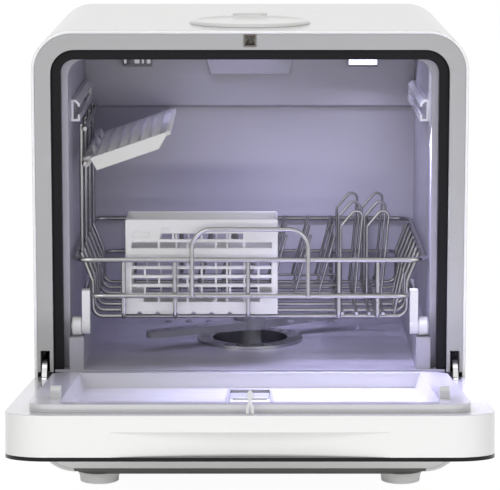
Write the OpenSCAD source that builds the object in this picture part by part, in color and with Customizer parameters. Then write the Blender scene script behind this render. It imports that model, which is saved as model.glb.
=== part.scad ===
// Countertop dishwasher with a drop-down door, a wheeled rack and a built-in water tank.
// Origin: centre of the standing footprint, on the table. +Z is up and the door faces -Y.
// The door is drawn open on its stop and the rack is drawn pushed in.

/* [Cabinet] */
// Width of the cabinet and of the door
body_w = 435; // [420:1:450]
// Height of the cabinet above its feet
body_h = 448; // [440:1:460]
// Depth of the cabinet behind the front edge
body_d = 382; // [372:1:410]
// Radius of the four long edges of the cabinet
corner_r = 40; // [30:1:46]
// Thickness of the outer shell
shell_t = 3; // [2:0.5:4]
// Width of the face frame round the mouth, shell included
bezel_w = 19; // [17:0.5:22]
// Thickness of the face frame
bezel_t = 10; // [8:0.5:12]
// Height of the front below the door's hinge axis
lower_front_h = 93.3; // [90:0.1:100]

/* [Tub] */
// Space between the cabinet's side and the tub's inner side
tub_side = 35.5; // [33.5:0.5:37.5]
// Ceiling of the tub below the cabinet's top
tub_top = 30; // [28:0.5:40]
// Height of the wash floor above the hinge axis
tub_rise = 11.7; // [11:0.1:14]
// Space behind the tub for the tank and the rear panel
tub_rear = 82; // [76:1:90]
// Thickness of the tub wall
tub_t = 2; // [1.5:0.5:3]
// Width of the wheel ledges on the tub sides
ledge_w = 14; // [13:0.5:18]
// Depth of the sump under the wash floor
sump_h = 30; // [20:1:40]
// Radius of the sump
sump_r = 48; // [40:1:55]

/* [Door] */
// Gap between the closed door's free edge and the cabinet's top
door_top_gap = 0.2; // [0.1:0.1:1]
// Rise of the open door from its hinge to its free edge, in degrees
door_slope = 6.8; // [6.3:0.1:8]
// Thickness of the door's white frame
frame_t = 37; // [32:0.5:37]
// Thickness of the glossy front panel
panel_t = 3.5; // [2.5:0.5:4]
// Height of the liner above the door frame's inner face
liner_h = 7.5; // [5:0.5:8]
// Depth of the liner's wash pan below its rim
pan_depth = 15; // [8:1:20]
// Radius of the hinge end about the hinge axis
hinge_end_r = 35.3; // [35.2:0.1:35.8]
// Diameter of the hinge pins
hinge_pin_d = 8; // [6:0.5:9]
// Width of the finger scoop in the free edge
scoop_w = 246; // [180:2:280]

/* [Rack] */
// Space in front of and behind the rack in the tub, both together
rack_play = 20; // [18:1:30]
// Gap between the rim wires and the tub's side
rack_side = 2; // [1.5:0.1:4]
// Height of the rim above the wash floor
rim_h = 111; // [105:1:118]
// Height of the lower ring above the wash floor
ring_h = 74; // [71:1:81]
// Height of the floor wires above the wash floor
wires_h = 46; // [46:1:51]
// Diameter of the rim wire
rim_d = 5; // [4:0.5:6]
// Diameter of the floor wires
wire_d = 4.4; // [3.5:0.1:5]
// Diameter of the tines
tine_d = 3; // [2.5:0.1:4]
// Diameter of the wheels
wheel_d = 19; // [16:0.5:20]
// Thickness of the wheels
wheel_t = 9.3; // [7:0.1:9.5]
// Diameter of the wheel axles
axle_d = 4; // [3:0.5:5]
// Travel of the rack beyond its own depth
travel_over = 3; // [0:1:3]

/* [Baskets] */
// Width of the cutlery basket
basket_w = 154; // [130:1:160]
// Depth of the cutlery basket
basket_d = 58; // [45:1:62]
// Height of the cutlery basket
basket_h = 96; // [80:1:100]
// Width of the cup shelf from its hinge to its free edge
shelf_w = 89; // [80:1:100]
// Tilt of the cup shelf above level, in degrees
shelf_tilt = 19; // [10:1:25]

/* [Top, feet and buttons] */
// Diameter of the filler lid
lid_d = 124; // [100:1:130]
// Height of the feet under the cabinet
foot_h = 20; // [15:0.5:25]
// Diameter of a foot where it stands
foot_d = 16.5; // [14:0.5:20]
// Diameter of the round buttons
button_d = 14; // [10:0.5:16]
// Travel of the buttons
button_travel = 2; // [1:0.1:3]

/* [Hidden] */
$fn = 48;

// Clearances
fit = 0.3;          // between fixed pieces that nest
pin_gap = 0.1;      // round a pin or axle that its piece turns on
swing_gap = 3;      // between the closed door's inner face and the face frame
weld_gap = 0.05;    // between wires that are welded together
elbow_swell = 0.08; // how much fatter a bent wire is in its bends

// Cabinet heights, measured from the table
half_w = body_w / 2;
top_z = foot_h + body_h;
function down(drop) = top_z - drop;
hinge_drop = body_h - lower_front_h;                // hinge axis below the cabinet's top
door_l = hinge_drop - door_top_gap;
tub_floor = hinge_drop - tub_rise;
tub_half_w = half_w - tub_side;
tub_back = body_d - tub_rear;
rack_d = tub_back - rack_play;
rack_travel = rack_d + travel_over;
rack_half_w = tub_half_w - rack_side;
rim_drop = tub_floor - rim_h;
ring_drop = tub_floor - ring_h;
floor_drop = tub_floor - wires_h;

// Door: the hinge axis lies below the mouth and in front of the face frame
hinge_face = 5.6;                                   // inner face above the hinge axis
sill_rise = 9.7;                                    // mouth's lower edge above the hinge axis
mouth_h = hinge_drop - sill_rise;
hinge_y = -swing_gap - hinge_face;
hinge_z = down(hinge_drop);
frame_low = hinge_face - frame_t;
panel_low = frame_low - panel_t;
rim_w = hinge_face + liner_h;
liner_half_w = half_w - bezel_w - 2;
liner_start = 14;
liner_end = hinge_drop - bezel_w - 2.3;
hinge_end_half_w = half_w - shell_t - 0.6;

// Footprint: the origin is midway between the door's free edge and the drain spigot's end
spigot_out = 18;
door_reach = -hinge_y + door_l * cos(door_slope) - panel_low * sin(door_slope);
front_y = (door_reach - (body_d + spigot_out)) / 2;

module placed() {
    translate([0, front_y, 0]) children();
}

// Extrude an outline drawn in (Y, Z) along X, or one drawn in (X, Z) along Y
module along_x(x0, x1) {
    translate([x0, 0, 0]) rotate([90, 0, 90]) linear_extrude(x1 - x0) children();
}

module along_y(y0, y1) {
    translate([0, y1, 0]) rotate([90, 0, 0]) linear_extrude(y1 - y0) children();
}

module box(lo, hi) {
    translate(lo) cube(hi - lo);
}

// Rounded rectangle between two corners
module rounded(lo, hi, r) {
    translate(lo + [r, 0]) square([hi.x - lo.x - 2 * r, hi.y - lo.y]);
    translate(lo + [0, r]) square([hi.x - lo.x, hi.y - lo.y - 2 * r]);
    for (x = [lo.x + r, hi.x - r], z = [lo.y + r, hi.y - r]) translate([x, z]) circle(r);
}

module both_sides() {
    children();
    mirror([1, 0, 0]) children();
}

// Straight rod between two points
module rod(p, q, d) {
    v = q - p;
    translate(p) rotate([0, acos(v.z / norm(v)), atan2(v.y, v.x)]) cylinder(h = norm(v), d = d);
}

// Wire that runs along +Z, with what follows at its end
module run(l, d) {
    cylinder(h = l, d = d);
    translate([0, 0, l]) children();
}

// Round bend of radius r from +Z towards +X, with what follows at its end. A bend other than a
// square one is a hair fatter where it starts and ends.
module bend(a, r, d) {
    ease = a == 90 ? 0 : 0.4;
    translate([r, 0, 0]) rotate([90, 0, 180]) {
        rotate(ease) rotate_extrude(angle = a - 2 * ease) translate([r, 0]) circle(d = d, $fn = 24);
        if (ease > 0) for (t = [0, a]) rotate(t) translate([r, 0, 0]) sphere(d = d + elbow_swell);
        rotate(a) translate([r, 0, 0]) rotate([90, 0, 180]) children();
    }
}

// Cabinet outline, inset from the outer surface
module outline(inset) {
    rounded([-half_w + inset, foot_h + inset], [half_w - inset, top_z - inset], corner_r - inset);
}

module mouth(half, top, bottom, r) {
    rounded([-half, down(bottom) - 2 * r], [half, down(top)], r);
}

// ---- Cabinet -------------------------------------------------------------------------------
filler_y = 98;
filler_hole_r = lid_d / 2 - 7;
base_half_w = half_w - corner_r + 1.5;

module outer_casing() {
    color("white") difference() {
        along_y(0, body_d) difference() {
            outline(0);
            outline(shell_t);
        }
        box([-base_half_w, -1, foot_h - 1], [base_half_w, body_d + 1, foot_h + corner_r / 2]);
        translate([0, filler_y, top_z - shell_t - 1]) cylinder(h = shell_t + 2, r = filler_hole_r);
    }
}

catch_drop = 9.7;
catch_w = 12.6;
slot_in = half_w - 15.5;
slot_out = half_w - 6;
slot_top = tub_floor - 20;

module front_bezel() {
    color("silver") difference() {
        along_y(0, bezel_t) intersection() {
            difference() {
                outline(shell_t + fit);
                mouth(half_w - bezel_w, bezel_w, mouth_h + 30, corner_r - bezel_w + 3);
            }
            translate([-half_w, down(mouth_h)]) square([body_w, body_h]);
        }
        both_sides() box([slot_in, -1, down(mouth_h) - 1], [slot_out, bezel_t + 1, down(slot_top)]);
        along_y(-1, bezel_t + 1) translate([0, down(catch_drop)])
            square([catch_w + 2 * fit, catch_w + 2 * fit], center = true);
    }
}

gasket_w = 9.7;
flange_y = 17;
gasket_front = liner_h - swing_gap + 0.3;
sill_front = 1;
sill_half_w = half_w - bezel_w - 1.5;

module door_gasket() {
    out_half = half_w - bezel_w - fit;
    color("black") along_y(gasket_front, flange_y) intersection() {
        difference() {
            mouth(out_half, bezel_w + fit, mouth_h + 30, corner_r - bezel_w + 2.5);
            mouth(out_half - gasket_w, bezel_w + fit + gasket_w, mouth_h + 30, 14);
        }
        translate([-half_w, down(tub_floor) + fit]) square([body_w, body_h]);
    }
}

module lower_seal() {
    seal_top = down(tub_floor + tub_t) - 0.3;
    color("black") {
        box([-slot_in + 0.5, 2, down(mouth_h + 5)], [slot_in - 0.5, flange_y - 1, seal_top]);
        both_sides() box(
            [slot_out + 0.3, 2, down(mouth_h + 5)],
            [half_w - shell_t - fit, flange_y - 1, seal_top]);
    }
}

crease_drop = 109;
arm_y = tub_back - 140;
tub_corner = 18;
boss_half_w = 55;
boss_drop = 71;

split_drop = tub_floor - 34;
catch_hole = catch_w + 2 * fit;
shell_front = flange_y + tub_t;

module tub_outline(grow) {
    rounded([-tub_half_w - grow, down(tub_floor + grow)], [tub_half_w + grow, down(tub_top - grow)],
        tub_corner + grow);
}

module bracket_slots(y0, y1) {
    both_sides() box([slot_in - 1, y0, down(tub_floor + tub_t) - 1], [slot_out + 1, y1, down(slot_top) + 1]);
}

// Front frame of the tub, behind the gasket
module tub_flange() {
    color("gainsboro") difference() {
        along_y(flange_y, shell_front) difference() {
            intersection() {
                outline(shell_t + fit);
                translate([-half_w, down(tub_floor + tub_t)]) square([body_w, body_h]);
            }
            tub_outline(0);
            translate([-tub_half_w - 0.5, down(split_drop) - 60]) square([2 * tub_half_w + 1, 60]);
            translate([-sill_half_w, down(tub_floor) - 60]) square([2 * sill_half_w, 60]);
            translate([0, down(catch_drop)]) square([catch_hole, catch_hole], center = true);
        }
        bracket_slots(flange_y - 1, shell_front + 1);
    }
}

// Wrapper: ceiling and sides in one bent sheet
module tub_wrapper() {
    color("gainsboro") along_y(shell_front, tub_back) intersection() {
        difference() {
            tub_outline(tub_t);
            tub_outline(0);
        }
        translate([-half_w, down(split_drop)]) square([body_w, body_h]);
    }
}

// Back wall with its crease and the raised boss
module tub_rear_wall() {
    color("gainsboro") {
        along_y(tub_back, tub_back + tub_t) tub_outline(tub_t);
        intersection() {
            along_x(-tub_half_w, tub_half_w) polygon([
                [tub_back + 0.5, down(crease_drop)], [tub_back - 5, down(crease_drop) + 3],
                [tub_back - 5, down(tub_top)], [tub_back + 0.5, down(tub_top)]]);
            along_y(tub_back - 6, tub_back + 1) tub_outline(0);
        }
        along_y(tub_back - 12, tub_back - 4) polygon([
            [-boss_half_w, down(tub_top) - 0.5], [-boss_half_w + 12, down(boss_drop)],
            [boss_half_w - 12, down(boss_drop)], [boss_half_w, down(tub_top) - 0.5]]);
    }
}

// Moulded base: wash floor with the sump, the wheel ledges and the sill
module tub_base() {
    ledge_top = wheel_z - wheel_d / 2 - fit;
    color("gainsboro") difference() {
        union() {
            difference() {
                union() {
                    along_y(shell_front, tub_back) intersection() {
                        difference() {
                            tub_outline(tub_t);
                            tub_outline(0);
                        }
                        translate([-half_w, down(split_drop) - body_h]) square([body_w, body_h]);
                    }
                    translate([0, arm_y, down(tub_floor + tub_t + sump_h)])
                        cylinder(h = sump_h + tub_t, r = sump_r + tub_t);
                }
                translate([0, arm_y, down(tub_floor + sump_h)]) cylinder(h = sump_h + 1, r = sump_r);
            }
            box([-sill_half_w, sill_front, down(tub_floor + tub_t)],
                [sill_half_w, shell_front + 1, down(tub_floor)]);
            both_sides() box(
                [tub_half_w - ledge_w, liner_h - swing_gap + 0.8, down(tub_floor) - 0.5],
                [tub_half_w + 0.5, tub_back, ledge_top]);
        }
        bracket_slots(flange_y - 1, shell_front + 2);
    }
}

vent_rows = 6;
port_z = foot_h + 60;
inlet_x = half_w - 67.5;
inlet_d = 26.4;
drain_x = inlet_x - 45;
drain_d = 18;
gland_x = -inlet_x;
gland_d = 16;
panel_y = body_d - 3;
panel_t_rear = 1.5;
collar_t = 2.5;
thread_l = 12;

module rear_panel() {
    color("lightgray") difference() {
        along_y(panel_y, panel_y + panel_t_rear) outline(shell_t + fit);
        for (i = [0 : vent_rows - 1], side = [-1, 1]) along_y(panel_y - 1, panel_y + 3)
            translate([side * 90, top_z - 60 - i * 12]) square([80, 4], center = true);
        for (p = [[inlet_x, inlet_d], [drain_x, drain_d], [gland_x, gland_d]])
            translate([p[0], panel_y - 1, port_z]) rotate([-90, 0, 0])
                cylinder(h = 4, d = p[1] + 2 * fit);
    }
}

tray_wall = 2.5;
module base_tray() {
    tray_half = base_half_w - fit;
    color("dimgray") difference() {
        union() {
            box([-tray_half, 0.5, foot_h], [tray_half, panel_y - 0.5, foot_h + 3]);
            for (x = [-tray_half + 6, -60, 60, tray_half - 6 - tray_wall])
                box([x, 8, foot_h + 2], [x + tray_wall, panel_y - 4, foot_h + 12]);
            for (y = [60, tub_back - 50, tub_back])
                box([-tray_half + 6, y, foot_h + 2], [tray_half - 6, y + tray_wall, foot_h + 12]);
        }
        for (x = [-120 : 40 : 120])
            box([x - 12, panel_y - 31, foot_h - 1], [x + 12, panel_y - 25, foot_h + 4]);
    }
}

foot_x = half_w - 62.5;
foot_front_y = 35;
foot_rear_y = body_d - 42;
flare_r = 19.5;
plate_drop = 6;

module base_plate() {
    color("dimgray") difference() {
        translate([0, 0, foot_h - plate_drop]) linear_extrude(plate_drop)
            rounded([-half_w + 43.5, 14], [half_w - 43.5, panel_y - 8], 12);
        for (x = [-foot_x, foot_x], y = [foot_front_y, foot_rear_y])
            translate([x, y, 0]) cylinder(h = foot_h + 1, r = flare_r + 0.5);
        box([-half_w + 87.5, 60, foot_h - plate_drop - 1], [half_w - 87.5, panel_y - 59, foot_h - 2]);
    }
}

// Trumpet-shaped foot: its radius grows with the fourth power of its height
module foot(x, y) {
    color("silver") translate([x, y, 0]) rotate_extrude($fn = 48) polygon(concat(
        [[0, 0], [foot_d / 2 - 1, 0], [foot_d / 2, 1]],
        [for (t = [0.2 : 0.1 : 1]) [foot_d / 2 + (flare_r - foot_d / 2) * pow(t, 4), foot_h * t]],
        [[0, foot_h]]));
}

// ---- Lower apron and controls --------------------------------------------------------------
pocket_r = hinge_end_r + 1.2;
pocket_t = 2.5;
strip_top = hinge_drop + pocket_r + 2;
skirt_h = 22.8;
strip_bottom = body_h - skirt_h;
strip_front = hinge_y + panel_low + panel_t;
chamber_half_w = half_w - 67.5;

module lower_apron() {
    inner_half = half_w - shell_t - fit;
    color("white") difference() {
        union() {
            along_x(-inner_half, inner_half) intersection() {
                translate([hinge_y, hinge_z]) difference() {
                    circle(pocket_r + pocket_t, $fn = 96);
                    circle(pocket_r, $fn = 96);
                }
                translate([hinge_y, hinge_z - 60]) square([60, 60]);
            }
            box([-inner_half, hinge_y + pocket_r, hinge_z - 0.1],
                [inner_half, hinge_y + pocket_r + pocket_t, down(mouth_h + 5) - 0.3]);
            intersection() {
                along_y(strip_front, -0.1) outline(0);
                along_x(-half_w, half_w) polygon([
                    [strip_front, down(strip_top)], [-0.1, down(strip_top)],
                    [-0.1, down(strip_bottom + 6)], [strip_front, down(strip_bottom)]]);
            }
            intersection() {
                along_y(-0.2, 4) outline(shell_t + fit);
                box([-half_w, -1, foot_h + shell_t], [half_w, 5, down(strip_top)]);
            }
        }
        box([-chamber_half_w, strip_front - 1, down(strip_bottom) + 2.5],
            [chamber_half_w, -6, down(strip_top) - 2.5]);
    }
}

button_x = [-128, -60, 60, 128];
button_z = down((strip_top + strip_bottom) / 2);
window_w = 60;
window_h = 18;

module fascia_plate(y0, y1) {
    intersection() {
        along_y(y0, y1) outline(0);
        box([-half_w, y0 - 1, down(strip_bottom)], [half_w, y1 + 1, down(strip_top)]);
    }
}

module control_fascia() {
    color("black") difference() {
        fascia_plate(strip_front - panel_t, strip_front);
        for (x = button_x) translate([x, strip_front - panel_t - 1, button_z]) rotate([-90, 0, 0])
            cylinder(h = panel_t + 2, d = button_d + 2 * fit);
        box([-window_w / 2, strip_front - panel_t - 1, button_z - window_h / 2],
            [window_w / 2, strip_front + 1, button_z + window_h / 2]);
    }
}

module display_window() {
    color("darkslategray") box(
        [-window_w / 2 + fit, strip_front - panel_t + 0.4, button_z - window_h / 2 + fit],
        [window_w / 2 - fit, strip_front, button_z + window_h / 2 - fit]);
}

// A round key on a stem; its collar stays behind the fascia
module button(x) {
    color("gray") translate([x, strip_front, button_z]) rotate([-90, 0, 0]) {
        translate([0, 0, -panel_t - 1]) cylinder(h = panel_t + 1.6, d = button_d);
        translate([0, 0, fit]) cylinder(h = 2, d = button_d + 3);
        translate([0, 0, 2]) cylinder(h = 12, d = 6);
    }
}

board_front = strip_front + 14.3 + button_travel;
module control_board() {
    color("darkgreen") box(
        [-chamber_half_w + 6, board_front, down(strip_bottom) + 2.8],
        [chamber_half_w - 6, board_front + 1.6, down(strip_top) - 2.8]);
}

// ---- Latch ---------------------------------------------------------------------------------
striker_half_w = 3.4;
striker_t = 4;
striker_h = 22;
catch_depth = striker_h - swing_gap + 4;

module latch_catch() {
    color("dimgray") {
        difference() {
            along_y(0.6, catch_depth) translate([0, down(catch_drop)])
                square([catch_w, catch_w], center = true);
            along_y(0, catch_depth - 1.5) translate([0, down(catch_drop)])
                square([catch_w - 2.4, catch_w - 2.4], center = true);
        }
        for (side = [-1, 1]) along_y(3, catch_depth - 3) translate([0, down(catch_drop)])
            polygon([[side * (catch_w / 2 - 1.4), -5], [side * (striker_half_w + 0.5), 0],
                [side * (catch_w / 2 - 1.4), 5]]);
    }
}

// ---- Tub fittings --------------------------------------------------------------------------
rail_drop = 75;
rail_h = 22;
rail_in = tub_half_w - 9;

module upper_rail() {
    out = tub_half_w - 0.1;
    color("gainsboro") difference() {
        along_y(60, tub_back - 35) polygon([
            [out, down(rail_drop)], [rail_in + 4, down(rail_drop)], [rail_in, down(rail_drop + 4)],
            [rail_in, down(rail_drop + rail_h)], [out, down(rail_drop + rail_h)]]);
        along_y(59, tub_back - 42) polygon([
            [out - 2.3, down(rail_drop + 2.3)], [rail_in + 5, down(rail_drop + 2.3)],
            [rail_in + 2.3, down(rail_drop + 5)], [rail_in + 2.3, down(rail_drop + rail_h - 2.3)],
            [out - 2.3, down(rail_drop + rail_h - 2.3)]]);
        box([rail_in - 1, 59, down(rail_drop + 15)],
            [rail_in + 3, tub_back - 42, down(rail_drop + 7)]);
    }
}

lamp_x = 124;
lamp_drop = 62;
lamp_front = tub_back - 20.8;
module lamp() {
    color("white") translate([lamp_x, 0, 0]) difference() {
        along_y(lamp_front, lamp_front + 15) polygon([
            [-19, down(tub_top) - 0.1], [-16, down(lamp_drop)], [16, down(lamp_drop)],
            [19, down(tub_top) - 0.1]]);
        for (i = [-3 : 3]) box([i * 4 - 0.8, lamp_front - 1, down(lamp_drop) - 1],
            [i * 4 + 0.8, lamp_front + 2, down(tub_top + 8)]);
    }
}

module filter_screen() {
    color("silver") translate([0, arm_y, 0]) difference() {
        union() {
            translate([0, 0, down(tub_floor) + 0.1]) cylinder(h = 3, r = sump_r + 8);
            translate([0, 0, down(tub_floor + sump_h) + 3]) cylinder(h = sump_h, r = sump_r - 6);
        }
        translate([0, 0, down(tub_floor + sump_h) + 2]) cylinder(h = sump_h + 8, r = sump_r - 8);
        for (a = [0 : 15 : 345]) rotate(a) box([sump_r - 5, -1.2, down(tub_floor) - 1],
            [sump_r + 5, 1.2, down(tub_floor) + 5]);
    }
}

pivot_d = 9;
module arm_bearing() {
    color("gray") translate([0, arm_y, 0]) {
        translate([0, 0, down(tub_floor + sump_h) + 0.1]) cylinder(h = sump_h + 12, d = 24);
        translate([0, 0, down(tub_floor) + 11]) cylinder(h = 12.5, d = pivot_d);
    }
}

arm_l = 250;
arm_w = 26;
arm_z = down(tub_floor) + 13;
arm_h = 9;

// Hollow-looking blade with swept tips, a hub and a row of spray slots
module spray_arm() {
    color("gray") translate([0, arm_y, arm_z]) difference() {
        union() {
            cylinder(h = arm_h + 4, d = 34);
            for (turn = [0, 180]) rotate(turn + 28) hull() {
                cylinder(h = arm_h, d = arm_w, $fn = 32);
                translate([arm_l / 2 - 10, 3, 1]) cylinder(h = arm_h - 3, d = 17, $fn = 32);
            }
        }
        translate([0, 0, -1]) cylinder(h = arm_h + 3, d = pivot_d + 2 * pin_gap);
        for (turn = [0, 180], r = [36 : 16 : 116]) rotate(turn + 28)
            translate([r, 2, arm_h - 2.5]) rotate(20) box([-4, -1, 0], [4, 1, 6]);
    }
}

pump_z = foot_h + 52;
pump_d = 78;
motor_d = 62;
module circulation_pump() {
    color("gray") {
        translate([sump_r + 52, arm_y - 10, pump_z]) rotate([-90, 0, 0]) {
            cylinder(h = 34, d = pump_d);
            translate([0, 0, 34]) cylinder(h = 60, d = motor_d);
            translate([0, 0, 94]) cylinder(h = 8, d = motor_d / 2);
        }
        translate([sump_r + tub_t + fit, arm_y + 7, down(tub_floor + tub_t + sump_h / 2)])
            rotate([0, 90, 0]) cylinder(h = 42, d = 22);
        for (x = [-25, 15]) box([sump_r + 52 + x, arm_y + 30, foot_h + 3.1],
            [sump_r + 62 + x, arm_y + 80, pump_z - motor_d / 2 + 7]);
    }
}

module drain_pump() {
    color("gray") {
        translate([-sump_r - 62, arm_y - 10, foot_h + 38]) rotate([-90, 0, 0]) {
            cylinder(h = 22, d = 50);
            translate([0, 0, 22]) cylinder(h = 40, d = 40);
        }
        box([-sump_r - 70, arm_y + 20, foot_h + 3.1], [-sump_r - 54, arm_y + 46, foot_h + 22]);
    }
}

tank_front = tub_back + tub_t + 6;
tank_back = panel_y - 6;
tank_mid = tank_front + 25;
tank_wall = 2.5;
tank_r = 5;
tank_half_w = tub_half_w - 10;
tank_top = 44;
tank_bottom = tub_floor - 11;
spout_d = 32;
spout_t = 2;

module tank_outline(inset) {
    rounded([-tank_half_w + inset, down(tank_bottom - inset)],
        [tank_half_w - inset, down(tank_top + inset)], tank_r - inset);
}

module water_tank() {
    color("lightblue") {
        difference() {
            along_y(tank_front, tank_back) tank_outline(0);
            along_y(tank_front + tank_wall, tank_back - tank_wall) tank_outline(tank_wall);
            translate([0, tank_mid, down(tank_top + 6)]) cylinder(h = 10, d = spout_d + 2);
        }
        both_sides() box([tank_half_w - 52, tank_front + 10, foot_h + 3.1],
            [tank_half_w - 22, tank_mid + 15, down(tank_bottom) + 0.5]);
    }
}

bowl_depth = 17;
duct_depth = 24;
duct_half_w = 22;
duct_t = 2;
duct_end = tank_mid + spout_d / 2 + duct_t;
duct_floor = top_z - shell_t - duct_depth;
duct_roof = top_z - shell_t - 0.1;
module filler_well() {
    color("lightgray") difference() {
        union() {
            translate([0, filler_y, top_z - shell_t - bowl_depth])
                cylinder(h = bowl_depth - 0.1, r = filler_hole_r + 5);
            box([-duct_half_w, filler_y - duct_t, duct_floor], [duct_half_w, duct_end, duct_roof]);
            translate([0, tank_mid, down(tank_top + 6)]) cylinder(h = 36, d = spout_d);
        }
        translate([0, filler_y, top_z - shell_t - bowl_depth + 2])
            cylinder(h = bowl_depth, r = filler_hole_r + 3);
        box([-duct_half_w + duct_t, filler_y, duct_floor + duct_t],
            [duct_half_w - duct_t, duct_end - duct_t, duct_roof - duct_t]);
        translate([0, tank_mid, down(tank_top + 6) - 1]) cylinder(h = 36, d = spout_d - 2 * spout_t);
    }
}

lid_axis_y = filler_y + lid_d / 2 + 2;
lid_axis_z = top_z + 3.2;
lid_pin_d = 2;
barrel_half = 14;

// Shallow domed lid with a soft rim and a finger recess
module filler_lid() {
    r = lid_d / 2;
    color("white") difference() {
        union() {
            translate([0, filler_y, top_z + 0.2]) rotate_extrude($fn = 96) polygon([
                [0, 0], [r, 0], [r, 1.4], [r - 0.8, 2.6], [r - 2.2, 3.3], [r - 4.2, 3.5],
                [r - 6.5, 3], [r - 9, 2.2], [r - 14, 2], [0, 2]]);
            translate([0, filler_y, top_z - 3.5]) cylinder(h = 3.8, r = filler_hole_r - 4);
            box([-barrel_half, lid_axis_y - 4, top_z + 0.5],
                [barrel_half, lid_axis_y - 0.5, top_z + 3.4]);
            translate([-barrel_half, lid_axis_y, lid_axis_z]) rotate([0, 90, 0])
                cylinder(h = 2 * barrel_half, d = 5.4);
        }
        translate([0, filler_y, top_z - 4]) cylinder(h = 4.2, r = filler_hole_r - 6);
        translate([-barrel_half - 1, lid_axis_y, lid_axis_z]) rotate([0, 90, 0])
            cylinder(h = 2 * barrel_half + 2, d = lid_pin_d + 2 * pin_gap);
    }
}

module lid_hinge() {
    color("white") {
        translate([-barrel_half - 4, lid_axis_y, lid_axis_z]) rotate([0, 90, 0])
            cylinder(h = 2 * barrel_half + 8, d = lid_pin_d);
        both_sides() {
            box([barrel_half + 0.4, lid_axis_y - 2.7, top_z],
                [barrel_half + 4, lid_axis_y + 2.7, lid_axis_z]);
            translate([barrel_half + 0.4, lid_axis_y, lid_axis_z]) rotate([0, 90, 0])
                cylinder(h = 3.6, d = 5.4);
        }
    }
}

module inlet_connector() {
    color("white") translate([inlet_x, 0, port_z]) rotate([-90, 0, 0]) {
        translate([0, 0, panel_y - 12]) cylinder(h = 11.9, d = inlet_d + 8);
        difference() {
            union() {
                translate([0, 0, panel_y - 12])
                    cylinder(h = 12 + panel_t_rear + collar_t + thread_l, d = inlet_d);
                translate([0, 0, panel_y + panel_t_rear]) cylinder(h = collar_t, d = inlet_d + 6);
            }
            translate([0, 0, panel_y - 6]) cylinder(h = 60, d = inlet_d - 6);
        }
    }
}

module drain_spigot() {
    color("gray") translate([drain_x, 0, port_z]) rotate([-90, 0, 0]) {
        translate([0, 0, panel_y - 12]) cylinder(h = 11.9, d = drain_d + 10);
        difference() {
            union() {
                translate([0, 0, panel_y - 12])
                    cylinder(h = 12 + body_d - panel_y + spigot_out, d = drain_d);
                translate([0, 0, panel_y + panel_t_rear]) cylinder(h = collar_t, d = drain_d + 6);
            }
            translate([0, 0, panel_y - 6]) cylinder(h = 60, d = drain_d - 5);
        }
    }
}

module cord_gland() {
    color("black") translate([gland_x, 0, port_z]) rotate([-90, 0, 0]) difference() {
        union() {
            translate([0, 0, panel_y - 5]) cylinder(h = 4.9, d = gland_d + 6);
            translate([0, 0, panel_y - 5]) cylinder(h = 12, d = gland_d);
        }
        translate([0, 0, panel_y - 6]) cylinder(h = 20, d = 8);
    }
}

// ---- Hinges --------------------------------------------------------------------------------
bracket_in = half_w - 13;
bracket_out = bracket_in + 5;
arc_r = 18.6;
bar_h = 9;

module hinge_bracket() {
    arc_y = hinge_y + arc_r;
    color("silver") {
        along_x(bracket_in, bracket_out) {
            translate([hinge_y, hinge_z]) circle(d = hinge_pin_d + 8);
            intersection() {
                translate([arc_y, hinge_z]) difference() {
                    circle(arc_r + bar_h / 2);
                    circle(arc_r - bar_h / 2);
                }
                translate([arc_y - 40, hinge_z]) square([40, 40]);
            }
            translate([arc_y - 0.1, hinge_z + arc_r - bar_h / 2]) square([60, bar_h]);
        }
        box([bracket_out - 0.1, arc_y + 30, hinge_z + arc_r - 12],
            [half_w - shell_t, arc_y + 60, hinge_z + arc_r + 12]);
        translate([bracket_in - 5, hinge_y, hinge_z]) rotate([0, 90, 0])
            cylinder(h = 13.5, d = hinge_pin_d);
    }
}

// ---- Door, drawn flat: -Y runs to the free edge and +Z is the inner face -------------------
module opened() {
    translate([0, hinge_y, hinge_z]) rotate([-door_slope, 0, 0]) children();
}

// The door's plan outline, rounded at the free edge
module door_plan(start, half) {
    intersection() {
        rounded([-half, -door_l], [half, corner_r * 2], corner_r);
        translate([-half, -door_l]) square([2 * half, door_l - start]);
    }
}

cavity_half_w = liner_half_w - 7;
scoop_low = 15;

module door_frame() {
    color("white") opened() difference() {
        union() {
            translate([0, 0, frame_low]) linear_extrude(frame_t) door_plan(0, half_w);
            along_x(-hinge_end_half_w, hinge_end_half_w) intersection() {
                circle(hinge_end_r, $fn = 96);
                translate([-0.1, frame_low]) square([hinge_end_r + 1, frame_t]);
            }
            along_x(-hinge_end_half_w, hinge_end_half_w) intersection() {
                circle(hinge_end_r, $fn = 96);
                translate([5.5, -hinge_end_r]) square([hinge_end_r, hinge_end_r]);
            }
        }
        box([-cavity_half_w, -liner_end + 7, frame_low + 3],
            [cavity_half_w, -liner_start - 7, hinge_face + 1]);
        both_sides() {
            box([bracket_in - 1.5, -22, -hinge_pin_d / 2 - 5.5],
                [bracket_out + 1.5, 40, hinge_face + 1]);
            translate([bracket_in - 5.5, 0, 0]) rotate([0, 90, 0])
                cylinder(h = 30, d = hinge_pin_d + 2 * pin_gap);
        }
        scoop();
    }
}

// Finger scoop in the free edge: a long shallow arc that fades out towards its ends
module scoop() {
    depth = 12;
    arc = (scoop_w * scoop_w / 4 + depth * depth) / (2 * depth);
    translate([0, -door_l - arc + depth, frame_low - 1])
        cylinder(h = frame_t + 1 - scoop_low, r = arc, $fn = 96);
}

module door_front_panel() {
    color("black") opened() translate([0, 0, panel_low]) linear_extrude(panel_t)
        door_plan(-5, half_w);
}

pan_half_w = liner_half_w - 26.5;
pan_start = 30;
pan_end = liner_end - 22;
liner_r = 24;
ridge_half_w = pan_half_w - 30;
dispenser_w = 44;
dispenser_start = 92;
dispenser_end = liner_end - 65.4;

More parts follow.
